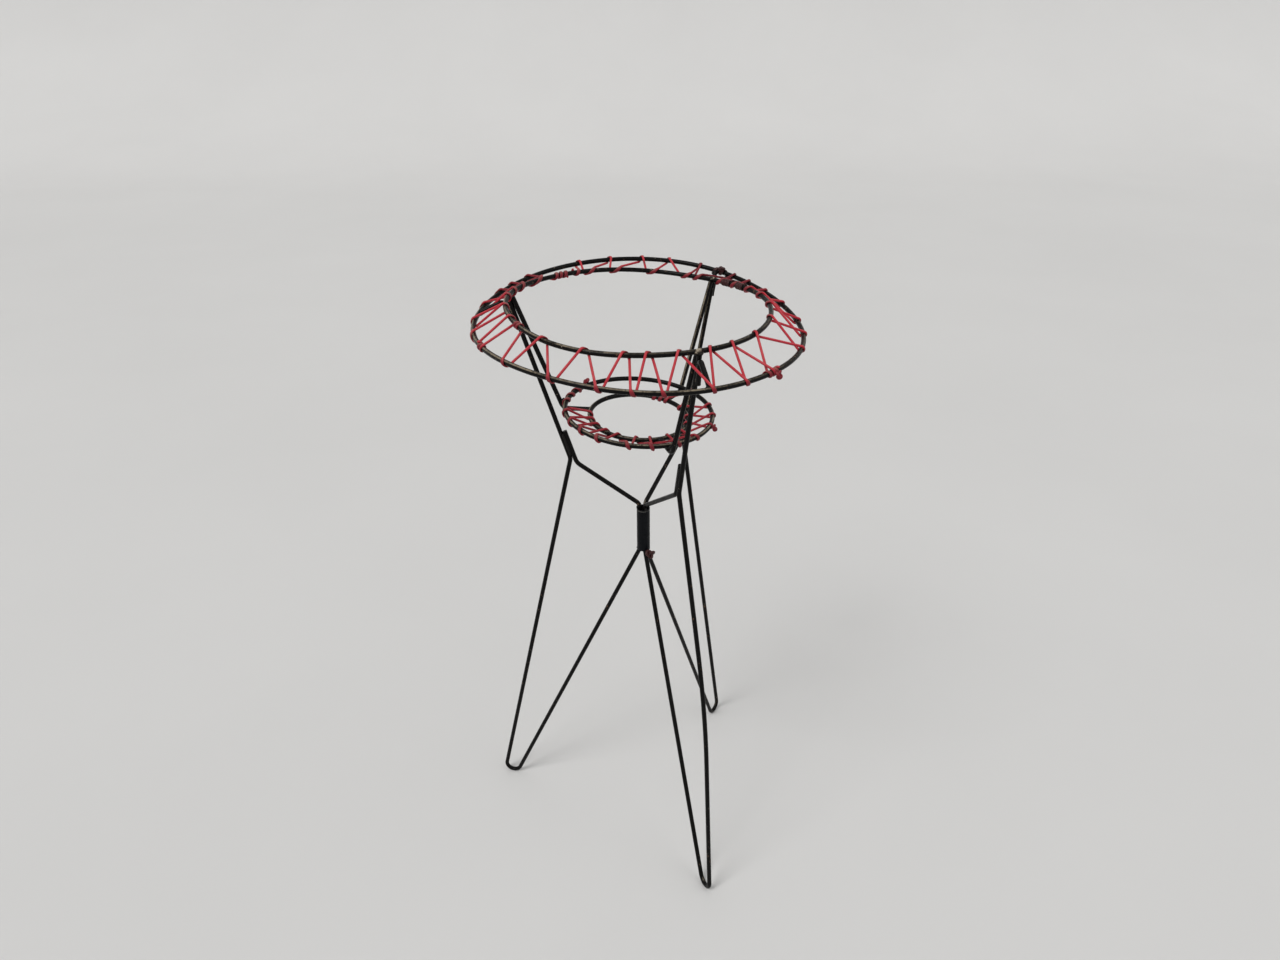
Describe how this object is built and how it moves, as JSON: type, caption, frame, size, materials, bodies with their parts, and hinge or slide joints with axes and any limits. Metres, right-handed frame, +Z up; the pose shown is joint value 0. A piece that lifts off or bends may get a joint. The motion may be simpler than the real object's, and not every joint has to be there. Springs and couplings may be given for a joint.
{
  "type": "plant stand",
  "caption": "Tall plant stand of bent black steel rod: a laced collar and tray hold a pot above splayed hairpin legs tied by a sleeve.",
  "frame": {"origin": "on the floor, below the middle of the sleeve that ties the three legs together", "axes": "+Z up, +Y to the back, +X to the right as seen from the front"},
  "size_m": [0.3547, 0.3374, 0.6672],
  "materials": {
    "painted_rod": "worn satin black paint",
    "sleeve": "satin black paint",
    "weld": "painted weld bead, rusty at the edges",
    "cord": "faded red plastic cord"
  },
  "bodies": {
    "root": {"collar_ring": "painted_rod", "brim_ring": "painted_rod", "tray_outer_ring": "painted_rod", "tray_inner_ring": "painted_rod", "leg_left": "painted_rod", "leg_rear": "painted_rod", "leg_front": "painted_rod", "hanger_left": "painted_rod", "hanger_rear": "painted_rod", "hanger_front": "painted_rod", "brim_strut_left": "painted_rod", "brim_strut_rear": "painted_rod", "brim_strut_front": "painted_rod", "leg_sleeve": "sleeve", "collar_welds": "weld", "brim_welds": "weld", "tray_welds": "weld", "knee_welds": "weld", "sleeve_welds": "weld", "brim_lacing_left": "cord", "brim_lacing_front": "cord", "brim_lacing_right": "cord", "tray_lacing": "cord", "brim_lace_knot": "cord", "rear_lace_knot": "cord", "tray_lace_knot_left": "cord", "tray_lace_knot_right": "cord", "sleeve_lace_scrap": "cord"}
  },
  "joints": []
}
